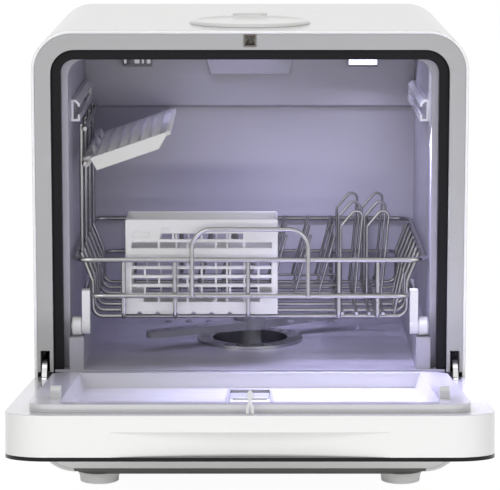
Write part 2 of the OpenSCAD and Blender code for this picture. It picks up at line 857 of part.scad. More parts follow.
module pan_shape(grow) {
    half = pan_half_w + grow;
    low = rim_w - pan_depth - grow;
    along_y(-pan_end - grow, -pan_start + grow)
        polygon([[-half, rim_w + 1], [-half + 6, low], [half - 6, low], [half, rim_w + 1]]);
}

module door_liner() {
    plan_lo = [-liner_half_w, -liner_end];
    plan_hi = [liner_half_w, -liner_start];
    color("gainsboro") opened() difference() {
        union() {
            translate([0, 0, hinge_face]) linear_extrude(liner_h) rounded(plan_lo, plan_hi, liner_r);
            intersection() {
                pan_shape(2);
                box([-half_w, -door_l, frame_low], [half_w, 0, hinge_face + 1]);
            }
        }
        difference() {
            pan_shape(0);
            along_x(-ridge_half_w, ridge_half_w) polygon([
                [-pan_end + 6, -50], [-pan_end + 12, rim_w - 6], [-pan_end + 22, rim_w - 6],
                [-pan_end + 30, -50]]);
        }
        box([-dispenser_w / 2, -dispenser_end, frame_low], [dispenser_w / 2, -dispenser_start, rim_w]);
    }
}

housing_top = rim_w - pan_depth + 5;
cup_l = 70;

module dispenser_housing() {
    color("gray") opened() difference() {
        box([-dispenser_w / 2 + fit, -dispenser_end + fit, housing_top - 20],
            [dispenser_w / 2 - fit, -dispenser_start - fit, housing_top]);
        box([-dispenser_w / 2 + 6, -dispenser_end + 10, housing_top - 17],
            [dispenser_w / 2 - 6, -dispenser_end + 10 + cup_l, housing_top + 1]);
        box([-dispenser_w / 2 + 3, -dispenser_end + 5, housing_top - 3],
            [dispenser_w / 2 - 3, -dispenser_start - 5, housing_top + 1]);
    }
}

// Sliding cover in the housing's rebate, with a finger rib
module dispenser_cover() {
    start = dispenser_end - 5.5;
    color("lightgray") opened() {
        box([-dispenser_w / 2 + 3.3, -start, housing_top - 2.7],
            [dispenser_w / 2 - 3.3, -start + cup_l + 10, housing_top - 0.5]);
        box([-dispenser_w / 2 + 6, -start + cup_l, housing_top - 0.6],
            [dispenser_w / 2 - 6, -start + cup_l + 4, housing_top + 1.5]);
    }
}

// Arrow-shaped striker: skirt, waist and pointed head
module latch_striker() {
    v = hinge_drop - catch_drop;
    s = striker_half_w;
    color("white") opened() translate([0, -v, hinge_face]) along_y(-striker_t / 2, striker_t / 2)
        difference() {
            polygon([[-s, 0], [-s, 6], [-1, 12], [-s, 17], [0, striker_h],
                [s, 17], [1, 12], [s, 6], [s, 0]]);
            polygon([[-1.2, -1], [-1.2, 5.5], [0, 8.5], [1.2, 5.5], [1.2, -1]]);
        }
}

wheel_x = tub_half_w - 2.2 - wheel_t;
rack_y = 12;
rack_back = rack_y + rack_d;
wheel_front_y = rack_y + 4;
stop_v = (rack_travel - wheel_front_y + wheel_d / 2 + 3 + hinge_y) / cos(door_slope);
stop_h = 11;

module stop_blocks() {
    color("white") opened() both_sides() along_x(wheel_x, wheel_x + 9) polygon([
        [-stop_v, rim_w], [-stop_v, rim_w + stop_h], [-stop_v - 9, rim_w + stop_h],
        [-stop_v - 12, rim_w + stop_h - 3], [-stop_v - 12, rim_w]]);
}

// ---- Rack, drawn pushed in -----------------------------------------------------------------
rim_x = rack_half_w - rim_d / 2;
ring_in = 12;
ring_x = rim_x - ring_in;
floor_z = down(floor_drop);
hoop_x = ring_x - wire_d - weld_gap;
hoop_top_x = rim_x - (rim_d + wire_d) / 2 - weld_gap;
rim_z = down(rim_drop);
ring_z = down(ring_drop);
ring_r = 18;
hoop_count = 7;
hoop_first = 40;
hoop_step = (rack_d - 2 * hoop_first) / (hoop_count - 1);
function hoop_y(i) = rack_y + hoop_first + i * hoop_step;

// Closed ring of wire with round corners
module ring(half, y0, y1, z, d, r) {
    for (x = [-half, half]) rod([x, y0 + r, z], [x, y1 - r, z], d);
    for (y = [y0, y1]) rod([-half + r, y, z], [half - r, y, z], d);
    for (c = [[half - r, y1 - r, 0], [-half + r, y1 - r, 90],
            [-half + r, y0 + r, 180], [half - r, y0 + r, 270]])
        translate([c[0], c[1], z]) rotate(c[2])
            rotate_extrude(angle = 90) translate([r, 0]) circle(d = d, $fn = 24);
}

module rack_rims() {
    color("silver") {
        ring(rim_x, rack_y, rack_back, rim_z, rim_d, 18);
        ring(ring_x, rack_y, rack_back, ring_z, wire_d, ring_r);
    }
}

// Cross wires: from the rim inwards past the lower ring and across under the load
hoop_r = 10;
module rack_hoops() {
    lean = atan2(hoop_top_x - hoop_x, rim_z - ring_z - 7);
    ease = hoop_r * tan(lean / 2);
    color("silver") for (i = [0 : hoop_count - 1]) both_sides()
        translate([0, hoop_y(i), floor_z]) rotate([0, 90, 0]) rotate(180)
        run(hoop_x - hoop_r, wire_d) bend(90, hoop_r, wire_d)
        run(ring_z + 8 - floor_z - hoop_r - ease, wire_d) rotate(180) bend(lean, hoop_r, wire_d)
        run(norm([hoop_top_x - hoop_x, rim_z - ring_z - 7]) - ease, wire_d);
}

long_x = [-ring_x + 37.5, -ring_x + 89.5, -2, ring_x - 75.5, ring_x - 36.3];
long_z = floor_z + wire_d + weld_gap;
long_front = rack_y + (rim_d + wire_d) / 2 + weld_gap;
long_bend = 7;

// Long wires: from the front rim down, back over the cross wires and up to the back rim
module rack_long_wires() {
    back = rack_back - (rim_d + wire_d) / 2 - weld_gap;
    side = rim_z + 1 - long_z - long_bend;
    color("silver") for (x = long_x) translate([x, long_front, rim_z + 1]) rotate([180, 0, 90])
        run(side, wire_d) bend(90, long_bend, wire_d)
        run(back - long_front - 2 * long_bend, wire_d) bend(90, long_bend, wire_d) run(side, wire_d);
}

handle_half_w = 60.75;
handle_top = 34;
handle_r = 20;
module rack_handle() {
    half = handle_half_w - wire_d / 2;
    side = rim_z + handle_top - wire_d / 2 - ring_z - handle_r;
    color("silver") translate([-half, rack_y - (rim_d + wire_d) / 2 - weld_gap, ring_z])
        run(side, wire_d) bend(90, handle_r, wire_d)
        run(2 * (half - handle_r), wire_d) bend(90, handle_r, wire_d) run(side, wire_d);
}

upright_x = -hoop_top_x;
upright_top = down(rail_drop + rail_h + 4);
shelf_axis_z = upright_top - 40;
shelf_axis_x = upright_x + wire_d + 0.1;
post_step = 2 * hoop_step;
post_y = [for (i = [0 : 3]) hoop_y(0.5 + 2 * i)];
knuckle_l = post_step - wire_d - 6;
shelf_start = post_y[0] - 16;
shelf_d = post_y[3] + 8 - shelf_start;

module rack_upright() {
    color("silver") {
        for (y = post_y) rod([upright_x, y, rim_z - rim_d], [upright_x, y, upright_top], wire_d);
        rod([upright_x + wire_d + weld_gap, post_y[0] - 6, upright_top - 4],
            [upright_x + wire_d + weld_gap, post_y[3] + 6, upright_top - 4], wire_d);
        rod([shelf_axis_x, post_y[0] - 6, shelf_axis_z],
            [shelf_axis_x, post_y[3] + 6, shelf_axis_z], wire_d);
    }
}

tine_z = long_z + (wire_d + tine_d) / 2 + weld_gap;
tine_h = 66;
tine_lean = 15;
tine_first = -56;
tine_pitch = (ring_x - 94 - tine_first) / 5;
tine_rows = 3;
stub_x = ring_x - 17.5;
stub_h = 42;
stub_lean = 12;

// Rows of leaning tines, each on a cross rod that lies on the long wires, and short ones on the
// cross wires at the right
module rack_tines() {
    color("silver") for (k = [1 : tine_rows]) {
        y = hoop_y(2 * k) - hoop_step * 0.04;
        rod([long_x[1] - 3, y, tine_z], [long_x[3] + 3, y, tine_z], tine_d);
        for (i = [0 : 5]) rod([tine_first + i * tine_pitch, y, tine_z],
            [tine_first + i * tine_pitch + tine_h * tan(tine_lean), y, tine_z + tine_h], tine_d);
    }
    color("silver") for (i = [0 : 2]) translate([stub_x, hoop_y(i), floor_z + wire_d / 2 + weld_gap])
        rotate([0, stub_lean, 0]) translate([0, 0, tine_d / 2 * sin(stub_lean)])
        cylinder(h = stub_h, d = tine_d);
}

loop_d = 2.8;
loop_h = 96;
loop_x = [ring_x - 71, ring_x - 43.5];
loop_rod_d = loop_d + 0.4;
loop_z = floor_z + (wire_d + loop_rod_d) / 2 + weld_gap;
loop_foot = loop_z + loop_rod_d / 2 + weld_gap;
loop_r = 6;
loop_slope = 40;
loop_close = 5;
shoulder = 16;
loop_left = loop_h - loop_r - shoulder * cos(loop_slope);
loop_right = (loop_h - loop_r * (1 + sin(loop_close))) / cos(loop_close) - 0.15;
loop_w = loop_r * (1 + cos(loop_close)) + shoulder * sin(loop_slope) - loop_right * sin(loop_close);

// One hairpin: a leg, a slanted shoulder, a round peak and a leg that leans back towards the first
module loop(x, y) {
    translate([x, y, loop_foot]) run(loop_left, loop_d) bend(loop_slope, loop_r, loop_d)
        run(shoulder, loop_d) bend(180 - loop_slope + loop_close, loop_r, loop_d)
        run(loop_right, loop_d);
}

// Hairpin loops in two columns, each on a pair of long rods that lie on the cross wires
module rack_loops() {
    color("silver") for (x = loop_x) {
        for (k = [1 : 3]) loop(x, hoop_y(2 * k - 0.5));
        for (leg_x = [x, x + loop_w])
            rod([leg_x, hoop_y(0) - 8, loop_z], [leg_x, hoop_y(6) + 8, loop_z], loop_rod_d);
    }
}

wheel_rear_y = rack_back - 56;
wheel_z = down(floor_drop) - 3.5;
carrier_t = 8;

// Wheel carrier: a clip that grips the lower ring, with the axle and its head
module carrier(y) {
    back = wheel_x - 0.7;
    color("white") {
        difference() {
            along_x(back - carrier_t, back) {
                translate([y, wheel_z]) circle(r = 8);
                translate([y - 6, wheel_z]) square([12, ring_z - wheel_z + 6]);
            }
            ring(ring_x, rack_y, rack_back, ring_z, wire_d + 2 * weld_gap, ring_r);
        }
        translate([back - 0.1, y, wheel_z]) rotate([0, 90, 0]) cylinder(h = wheel_t + 1.3, d = axle_d);
        translate([back + wheel_t + 1, y, wheel_z]) rotate([0, 90, 0]) cylinder(h = 0.9, d = axle_d + 3);
    }
}

module wheel_carriers() {
    both_sides() {
        carrier(wheel_front_y);
        carrier(wheel_rear_y);
    }
}

module wheel(side, y) {
    color("white") mirror([side < 0 ? 1 : 0, 0, 0]) translate([wheel_x, y, wheel_z]) rotate([0, 90, 0])
        rotate_extrude() polygon([
            [axle_d / 2 + pin_gap, 0], [wheel_d / 2 - 0.8, 0], [wheel_d / 2, 0.8],
            [wheel_d / 2, wheel_t - 0.8], [wheel_d / 2 - 0.8, wheel_t], [wheel_d / 2 - 2, wheel_t],
            [wheel_d / 2 - 2.6, wheel_t - 1], [axle_d / 2 + 1.8, wheel_t - 1],
            [axle_d / 2 + 1.5, wheel_t - 0.2],
            [axle_d / 2 + pin_gap, wheel_t - 0.2]]);
}

// ---- Cup shelf and cutlery basket ----------------------------------------------------------
shelf_t = 4;
shelf_wall = 2.5;
finger_l = 4;
claw_l = 34;
claw_h = 8;
hole_rows = 14;
hole_cols = 6;

// Folding shelf: a pierced plate with end walls, fingers on its free edge, three knuckles and
// three upright claws that keep the cups off the wires
module cup_shelf() {
    bore_d = wire_d + 2 * pin_gap;
    first = post_y[0] + wire_d / 2 + 3;
    shelf_back = shelf_start + shelf_d;
    step_x = (shelf_w - 18) / hole_cols;
    step_y = (shelf_d - 8) / hole_rows;
    color("gainsboro") translate([shelf_axis_x, 0, shelf_axis_z])
        rotate([0, -shelf_tilt, 0]) difference() {
        union() {
            box([8, shelf_start, 1], [shelf_w, shelf_back, 1 + shelf_t]);
            for (y = [shelf_start, shelf_back - shelf_wall]) along_y(y, y + shelf_wall)
                polygon([[8, 2], [10, -9], [shelf_w - 12, -9], [shelf_w, 2]]);
            for (i = [0 : 13]) box([shelf_w - 1, shelf_start + 3 + i * 15.6, 1],
                [shelf_w + finger_l, shelf_start + 10 + i * 15.6, 1 + shelf_t]);
            for (i = [0 : 2]) {
                box([0, first + i * post_step, 1], [9, first + i * post_step + knuckle_l, 1 + shelf_t]);
                translate([0, first + i * post_step, 0]) rotate([-90, 0, 0])
                    cylinder(h = knuckle_l, d = bore_d + 5);
                along_x(9, 9 + shelf_wall) translate([post_y[i] + post_step / 2, 1 + shelf_t])
                    intersection() {
                    translate([-claw_l / 2, -1]) square([claw_l, claw_h + 1]);
                    translate([0, claw_h - claw_l / 2]) circle(d = claw_l);
                }
            }
        }
        for (i = [0 : hole_rows - 1], k = [0 : hole_cols - 1]) box(
            [14 + k * step_x, shelf_start + 6 + i * step_y, 0],
            [12 + (k + 1) * step_x - 1, shelf_start + 2 + (i + 1) * step_y, 6]);
        translate([0, shelf_start - 4, 0]) rotate([-90, 0, 0]) cylinder(h = shelf_d + 8, d = bore_d);
    }
}

basket_x = -ring_x + 39.5;
basket_y = long_front + long_bend + 1.3;
basket_low = long_z + wire_d / 2 + weld_gap + 0.3;
basket_t = 2;
slot_low = 12.5;
slot_h = 6.2;
slot_rise = (basket_h - 22.4) / 8;
slot_run = (basket_w - 10) / 5;
slot_margin = [17, 5, 5, 5, 5, basket_w, 5, 34];
notch_step = 18.3;

// One row of slots through the front wall, set out like bricks
module slot_row(k) {
    for (n = [0 : 5]) {
        start = 5 + (n - (k % 2) / 2) * slot_run;
        low = max(start, slot_margin[k]) + 1;
        high = min(start + slot_run, basket_w - slot_margin[k]) - 1;
        if (high - low > 4) box([low, -1, slot_low + k * slot_rise],
            [high, basket_t + 0.2, slot_low + k * slot_rise + slot_h]);
    }
}

// Open basket: brick-pattern slots below a plain band with a stud, a pierced floor, a notched
// lower edge and two dividers
module cutlery_basket() {
    color("gainsboro") translate([basket_x, basket_y, basket_low]) difference() {
        union() {
            difference() {
                cube([basket_w, basket_d, basket_h]);
                translate([basket_t, basket_t, basket_t])
                    cube([basket_w - 2 * basket_t, basket_d - 2 * basket_t, basket_h]);
            }
            for (x = [basket_w / 3, basket_w * 2 / 3])
                translate([x - 0.9, 1, 1]) cube([1.8, basket_d - 2, basket_h - 12]);
            translate([basket_w - 19.5, -2, basket_h - 13.5]) rotate([-90, 0, 0]) cylinder(h = 3, d = 7);
        }
        for (k = [0 : 7]) {
            slot_row(k);
            translate([basket_w, basket_d, 0]) rotate(180) slot_row(k);
            if (k != 5) for (y = [5, basket_d / 2 + 1.5]) box(
                [-1, y, slot_low + k * slot_rise],
                [basket_w + 1, y + basket_d / 2 - 6.5, slot_low + k * slot_rise + slot_h]);
        }
        for (n = [0 : 5]) translate([13.8 + n * notch_step, -1, 0]) rotate([-90, 0, 0])
            cylinder(h = basket_d + 2, d = 5);
        for (i = [0 : 8], j = [0 : 4])
            translate([8 + i * slot_run * 0.54, 5 + j * 10, -1]) cube([12, 6, 4]);
    }
}

placed() outer_casing();
placed() front_bezel();
placed() door_gasket();
placed() lower_seal();
placed() tub_flange();
placed() tub_wrapper();
placed() tub_rear_wall();
placed() tub_base();
placed() rear_panel();
placed() base_tray();
placed() base_plate();
placed() foot(-foot_x, foot_front_y);  // foot_front_left
placed() foot(foot_x, foot_front_y);  // foot_front_right
placed() foot(-foot_x, foot_rear_y);  // foot_rear_left
placed() foot(foot_x, foot_rear_y);  // foot_rear_right
placed() lower_apron();
placed() control_fascia();
placed() display_window();
placed() button(button_x[0]);  // button_power
placed() button(button_x[1]);  // button_programme
placed() button(button_x[2]);  // button_drying
placed() button(button_x[3]);  // button_start
placed() latch_catch();
placed() both_sides() upper_rail();  // upper_rails
placed() both_sides() lamp();  // lamps
placed() filter_screen();
placed() arm_bearing();
placed() spray_arm();
placed() circulation_pump();
placed() drain_pump();
placed() water_tank();
placed() filler_well();
placed() filler_lid();
placed() lid_hinge();
placed() control_board();
placed() inlet_connector();
placed() drain_spigot();
placed() cord_gland();
placed() both_sides() hinge_bracket();  // hinge_brackets
placed() door_frame();
placed() door_front_panel();
placed() door_liner();
placed() dispenser_housing();
placed() dispenser_cover();
placed() latch_striker();
placed() stop_blocks();
placed() rack_rims();
placed() rack_hoops();
placed() rack_long_wires();
placed() rack_handle();
placed() rack_upright();
placed() rack_tines();
placed() rack_loops();
placed() wheel_carriers();
placed() wheel(-1, wheel_front_y);  // wheel_front_left
placed() wheel(1, wheel_front_y);  // wheel_front_right
placed() wheel(-1, wheel_rear_y);  // wheel_rear_left
placed() wheel(1, wheel_rear_y);  // wheel_rear_right
placed() cup_shelf();
placed() cutlery_basket();
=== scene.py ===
"""Looks of the countertop dishwasher: materials, light, camera and fine pieces round the CAD frame."""
import math

import bmesh
import bpy
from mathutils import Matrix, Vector


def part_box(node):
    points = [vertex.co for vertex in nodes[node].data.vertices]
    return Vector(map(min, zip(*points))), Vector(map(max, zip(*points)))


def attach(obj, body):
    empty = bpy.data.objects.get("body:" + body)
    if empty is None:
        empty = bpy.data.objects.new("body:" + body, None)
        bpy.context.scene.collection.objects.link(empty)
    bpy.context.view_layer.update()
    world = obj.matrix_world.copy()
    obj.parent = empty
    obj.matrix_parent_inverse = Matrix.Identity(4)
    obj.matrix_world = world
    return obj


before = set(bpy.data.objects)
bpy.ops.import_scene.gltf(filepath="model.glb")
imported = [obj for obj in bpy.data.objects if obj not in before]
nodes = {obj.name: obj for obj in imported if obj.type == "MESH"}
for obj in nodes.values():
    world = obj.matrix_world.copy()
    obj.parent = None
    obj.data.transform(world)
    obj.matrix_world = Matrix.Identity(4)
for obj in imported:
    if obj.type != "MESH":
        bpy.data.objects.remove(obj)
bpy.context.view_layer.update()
MM = 0.001
FEET = ["foot_front_left", "foot_front_right", "foot_rear_left", "foot_rear_right"]
WHEELS = ["wheel_front_left", "wheel_front_right", "wheel_rear_left", "wheel_rear_right"]

# ---- Camera ----------------------------------------------------------------------------------
# The focal length, place and dip were worked out from the photograph.
SENSOR_MM = 36
PHOTO_WIDTH_PX = 500
FOCAL_PX = 2629.8
CAMERA_PLACE = (0, -2.6198, 0.6758)
CAMERA_DIP = 0.161
cam_data = bpy.data.cameras.new("camera")
cam_data.sensor_fit = "HORIZONTAL"
cam_data.sensor_width = SENSOR_MM
cam_data.lens = SENSOR_MM * FOCAL_PX / PHOTO_WIDTH_PX
cam_data.clip_end = 20
camera = bpy.data.objects.new("camera", cam_data)
bpy.context.scene.collection.objects.link(camera)
camera.location = CAMERA_PLACE
camera.rotation_euler = (math.pi / 2 - CAMERA_DIP, 0, 0)
bpy.context.scene.camera = camera
bpy.context.scene.view_settings.view_transform = "Standard"


# ---- Materials -------------------------------------------------------------------------------
# Scales of the noise behind the colour and the gloss, and the part of its range that is used
COLOUR_SCALE = 14
GLOSS_SCALE = 45
NOISE_LOW = 0.3
NOISE_HIGH = 0.7
COAT_ROUGH = 0.06
ZONE_BLEND = 0.2 * MM
BUMP_DEPTH = 0.1 * MM


def node_tree(name):
    """A new material with its node tree and its main shader."""
    mat = bpy.data.materials.new(name)
    mat.use_nodes = True
    tree = mat.node_tree
    return mat, tree, tree.nodes["Principled BSDF"]


def noise(tree, coord, scale, detail, stretch=None):
    """A noise texture's value, with its place stretched where that is asked for."""
    tex = tree.nodes.new("ShaderNodeTexNoise")
    tex.inputs["Scale"].default_value = scale
    tex.inputs["Detail"].default_value = detail
    if stretch:
        mapping = tree.nodes.new("ShaderNodeMapping")
        mapping.inputs["Scale"].default_value = stretch
        tree.links.new(coord, mapping.inputs["Vector"])
        coord = mapping.outputs["Vector"]
    tree.links.new(coord, tex.inputs["Vector"])
    return tex.outputs["Fac"]


def spread(tree, fac, low, high):
    """The noise's used range, mapped on to low to high."""
    out = tree.nodes.new("ShaderNodeMapRange")
    out.inputs["From Min"].default_value = NOISE_LOW
    out.inputs["From Max"].default_value = NOISE_HIGH
    out.inputs["To Min"].default_value = low
    out.inputs["To Max"].default_value = high
    tree.links.new(fac, out.inputs["Value"])
    return out.outputs["Result"]


def zoned(tree, coord, color, direction, distance, past):
    """The colour, or past where the place on the object lies further than distance along direction."""
    dot = tree.nodes.new("ShaderNodeVectorMath")
    dot.operation = "DOT_PRODUCT"
    dot.inputs[1].default_value = direction
    tree.links.new(coord, dot.inputs[0])
    edge = tree.nodes.new("ShaderNodeMapRange")
    edge.inputs["From Min"].default_value = distance - ZONE_BLEND
    edge.inputs["From Max"].default_value = distance + ZONE_BLEND
    tree.links.new(dot.outputs["Value"], edge.inputs["Value"])
    mix = tree.nodes.new("ShaderNodeMix")
    mix.data_type = "RGBA"
    mix.inputs["B"].default_value = (*past, 1)
    tree.links.new(edge.outputs["Result"], mix.inputs["Factor"])
    tree.links.new(color, mix.inputs["A"])
    return mix.outputs["Result"]


def material(name, rgb, rough, metal=0.0, coat=0.0, grain=1200, bump=0.05, mottle=0.04,
             stretch=None, edge=0.4, emit=None, transmission=0.0, sub=0.0, shine=0.5, uneven=0.15,
             zone=None):
    """A moulded, painted or drawn surface: mottled colour, uneven gloss, fine grain and eased edges.
    zone is (direction, distance, colour): the part of the object past that distance has that colour."""
    mat, tree, bsdf = node_tree(name)
    coord = tree.nodes.new("ShaderNodeTexCoord").outputs["Object"]
    broad = noise(tree, coord, COLOUR_SCALE, 4.0)
    ramp = tree.nodes.new("ShaderNodeValToRGB")
    ramp.color_ramp.elements[0].position = NOISE_LOW
    ramp.color_ramp.elements[1].position = NOISE_HIGH
    ramp.color_ramp.elements[0].color = [c * (1 - mottle) for c in rgb] + [1]
    ramp.color_ramp.elements[1].color = [min(1.0, c * (1 + mottle)) for c in rgb] + [1]
    tree.links.new(broad, ramp.inputs["Fac"])
    color = ramp.outputs["Color"]
    if zone:
        color = zoned(tree, coord, color, *zone)
    tree.links.new(color, bsdf.inputs["Base Color"])
    fine = noise(tree, coord, grain, 2.0, stretch)
    smear = noise(tree, coord, GLOSS_SCALE, 5.0)
    gloss = spread(tree, smear, rough * (1 - uneven), min(1.0, rough * (1 + uneven)))
    tree.links.new(gloss, bsdf.inputs["Roughness"])
    bevel = tree.nodes.new("ShaderNodeBevel")
    bevel.samples = 4
    bevel.inputs["Radius"].default_value = edge * MM
    bump_node = tree.nodes.new("ShaderNodeBump")
    bump_node.inputs["Strength"].default_value = bump
    bump_node.inputs["Distance"].default_value = BUMP_DEPTH
    tree.links.new(fine, bump_node.inputs["Height"])
    tree.links.new(bevel.outputs["Normal"], bump_node.inputs["Normal"])
    tree.links.new(bump_node.outputs["Normal"], bsdf.inputs["Normal"])
    bsdf.inputs["Metallic"].default_value = metal
    bsdf.inputs["Coat Weight"].default_value = coat
    bsdf.inputs["Coat Roughness"].default_value = COAT_ROUGH
    bsdf.inputs["Transmission Weight"].default_value = transmission
    bsdf.inputs["Specular IOR Level"].default_value = shine
    if sub:
        bsdf.inputs["Subsurface Weight"].default_value = sub
        bsdf.inputs["Subsurface Radius"].default_value = (4 * MM, 4 * MM, 4 * MM)
    if emit:
        bsdf.inputs["Emission Color"].default_value = (*emit[0], 1)
        bsdf.inputs["Emission Strength"].default_value = emit[1]
    return mat


WHITE = (0.82, 0.82, 0.81)
LINER = (0.60, 0.595, 0.61)
# The open door's inner face slopes by SLOPE: UP is square to it, door_top is how far it lies along UP.
SLOPE = math.radians(6.8)
UP = Vector((0, math.sin(SLOPE), math.cos(SLOPE)))
door_top = max(UP.dot(v.co) for v in nodes["door_frame"].data.vertices)
M = {
    "casing": material("casing_gloss_white", WHITE, 0.24, coat=0.4, grain=60, bump=0.0, mottle=0.003,
                       uneven=0.01),
    # rim: a white brighter than the casing's, a painted highlight along the casing's front edge
    "rim": material("rim_painted_highlight_white", (0.95, 0.95, 0.95), 0.15, coat=1.0, grain=60, bump=0.0,
                    mottle=0.003, uneven=0.02),
    "apron": material("apron_gloss_white", (0.86, 0.86, 0.85), 0.3, coat=0.3, grain=700, bump=0.002,
                      mottle=0.006, uneven=0.04),
    "bezel": material("bezel_light_grey", (0.42, 0.42, 0.415), 0.45, grain=2600, bump=0.03,
                      mottle=0.008, uneven=0.05),
    "gasket": material("gasket_black_rubber", (0.010, 0.010, 0.011), 0.4, grain=1500, bump=0.08,
                       edge=3.0, shine=0.15),
    # tub: its grey is its own, but its slight lavender tint is painted light from the lavender LEDs inside
    # the tub
    "tub": material("tub_grey_polypropylene_painted_lavender_light", (0.40, 0.39, 0.43), 0.34, grain=900, bump=0.03,
                    mottle=0.02, edge=1.5),
    "fitting": material("fitting_pale_grey", (0.60, 0.60, 0.59), 0.4, grain=1500, bump=0.04,
                        mottle=0.02),
    "rail": material("rail_gloss_white", (0.74, 0.74, 0.77), 0.16, coat=0.5, grain=1200, bump=0.02,
                     mottle=0.02),
    "shelf": material("shelf_warm_grey", (0.66, 0.655, 0.62), 0.45, grain=1700, bump=0.06, mottle=0.03,
                      sub=0.1),
    "basket": material("basket_warm_grey", (0.64, 0.635, 0.615), 0.45, grain=1700, bump=0.06,
                       mottle=0.03, sub=0.1),
    "wire": material("wire_stainless", (0.42, 0.415, 0.405), 0.24, metal=1.0, grain=2500, bump=0.08,
                     mottle=0.05, stretch=(1, 1, 6)),
    "chrome": material("hinge_chrome", (0.75, 0.75, 0.76), 0.12, metal=1.0, grain=2500, bump=0.03,
                       mottle=0.03),
    "catch": material("catch_metal", (0.26, 0.235, 0.21), 0.38, metal=0.8, grain=1800, bump=0.15,
                      mottle=0.1),
    "frame": material("frame_gloss_white", (0.84, 0.84, 0.83), 0.2, coat=0.6, grain=600, bump=0.001,
                      mottle=0.004, edge=0.6, uneven=0.02, zone=(UP, door_top - 0.5 * MM, LINER)),
    "glass": material("front_panel_black_gloss", (0.006, 0.006, 0.007), 0.1, grain=300, bump=0.001,
                      edge=0.3, shine=0.25, uneven=0.03),
    "liner": material("liner_grey_gloss", LINER, 0.22, coat=0.3, grain=600, bump=0.01, mottle=0.012,
                      edge=1.0, uneven=0.06),
    "dispenser": material("dispenser_grey", (0.33, 0.335, 0.335), 0.4, grain=1200, bump=0.04,
                          mottle=0.03),
    "wheel": material("wheel_off_white", (0.70, 0.70, 0.69), 0.36, grain=1500, bump=0.04, mottle=0.02),
    "foot": material("foot_pale_grey", (0.82, 0.82, 0.81), 0.5, grain=1600, bump=0.08, mottle=0.02),
    "dark": material("base_dark_grey", (0.125, 0.125, 0.12), 0.55, grain=1200, bump=0.2, mottle=0.08),
    "works": material("works_grey", (0.25, 0.25, 0.26), 0.5, grain=1200, bump=0.15, mottle=0.06),
    "tank": material("tank_translucent", (0.62, 0.70, 0.78), 0.3, grain=700, bump=0.08,
                     transmission=0.5),
    "board": material("board_green", (0.02, 0.14, 0.05), 0.4, grain=900, bump=0.3, mottle=0.15),
    "button": material("button_dark_gloss", (0.035, 0.035, 0.04), 0.22, coat=0.4, grain=1500,
                       bump=0.02),
    "window": material("display_smoked", (0.006, 0.010, 0.012), 0.05, coat=0.2, grain=300, bump=0.002,
                       shine=0.3),
    "lamp_body": material("lamp_body_smoked", (0.16, 0.16, 0.19), 0.25, coat=0.3, grain=900, bump=0.02),
    "lamp_rib": material("lamp_rib_chrome", (0.42, 0.42, 0.45), 0.18, metal=1.0, grain=900, bump=0.02),
    "lamp_off": material("lamp_lens_smoked", (0.10, 0.10, 0.12), 0.14, coat=0.6, grain=900, bump=0.03),
    "lamp_on": material("lamp_lens_lit", (0.80, 0.83, 0.98), 0.2, grain=900, bump=0.03,
                        emit=((0.84, 0.87, 1.0), 1.3)),
    "rear": material("rear_galvanised", (0.48, 0.49, 0.50), 0.42, metal=0.9, grain=260, bump=0.1,
                     mottle=0.05),
    "screw": material("screw_zinc", (0.60, 0.60, 0.58), 0.3, metal=1.0, grain=2000, bump=0.1,
                      mottle=0.06),
    "rubber": material("black_rubber", (0.02, 0.02, 0.02), 0.6, grain=1400, bump=0.25),
    "filter": material("filter_steel", (0.52, 0.52, 0.52), 0.3, metal=1.0, grain=1500, bump=0.2,
                       mottle=0.06),
    "arm": material("arm_grey", (0.30, 0.30, 0.32), 0.4, grain=1500, bump=0.06, mottle=0.03),
}
FINISH = {
    "casing": ["outer_casing", "filler_lid", "lid_hinge"],
    "apron": ["lower_apron"],
    "bezel": ["front_bezel"],
    "gasket": ["door_gasket", "lower_seal"],
    "tub": ["tub_flange", "tub_wrapper", "tub_rear_wall", "tub_base"],
    "fitting": ["filler_well", "inlet_connector", "dispenser_cover", "stop_blocks"],
    "rail": ["upper_rails"],
    "shelf": ["cup_shelf"],
    "basket": ["cutlery_basket"],
    "wire": ["rack_rims", "rack_hoops", "rack_long_wires", "rack_handle", "rack_upright", "rack_tines",
             "rack_loops"],
    "chrome": ["hinge_brackets"],
    "catch": ["latch_catch"],
    "frame": ["door_frame"],
    "glass": ["door_front_panel", "control_fascia"],
    "liner": ["door_liner"],
    "wheel": WHEELS + ["wheel_carriers", "latch_striker"],
    "foot": FEET,
    "dark": ["base_tray", "base_plate"],
    "works": ["circulation_pump", "drain_pump", "drain_spigot"],
    "dispenser": ["dispenser_housing"],
    "tank": ["water_tank"],
    "board": ["control_board"],
    "button": ["button_power", "button_programme", "button_drying", "button_start"],
    "window": ["display_window"],
    "lamp_body": ["lamps"],
    "rear": ["rear_panel"],
    "rubber": ["cord_gland"],
    "filter": ["filter_screen"],
    "arm": ["spray_arm", "arm_bearing"],
}
for key, names in FINISH.items():
    for n in names:
        mesh = nodes[n].data
        mesh.materials.clear()
        mesh.materials.append(M[key])


# ---- Mesh helpers ----------------------------------------------------------------------------
def piece(name, body, finish, verts_faces, smooth=40):
    """A new mesh object that rides on a body. verts_faces is a list of (vertices, faces) in metres."""
    mesh = bpy.data.meshes.new(name)
    verts = []
    faces = []
    for vs, fs in verts_faces:
        first = len(verts)
        verts += [tuple(v) for v in vs]
        faces += [tuple(first + i for i in f) for f in fs]
    mesh.from_pydata(verts, [], faces)
    bm = bmesh.new()
    bm.from_mesh(mesh)
    bmesh.ops.recalc_face_normals(bm, faces=bm.faces)
    bm.to_mesh(mesh)
    bm.free()
    mesh.shade_smooth()
    mesh.set_sharp_from_angle(angle=math.radians(smooth))
    mesh.materials.append(M[finish])
    obj = bpy.data.objects.new(name, mesh)
    bpy.context.scene.collection.objects.link(obj)
    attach(obj, body)


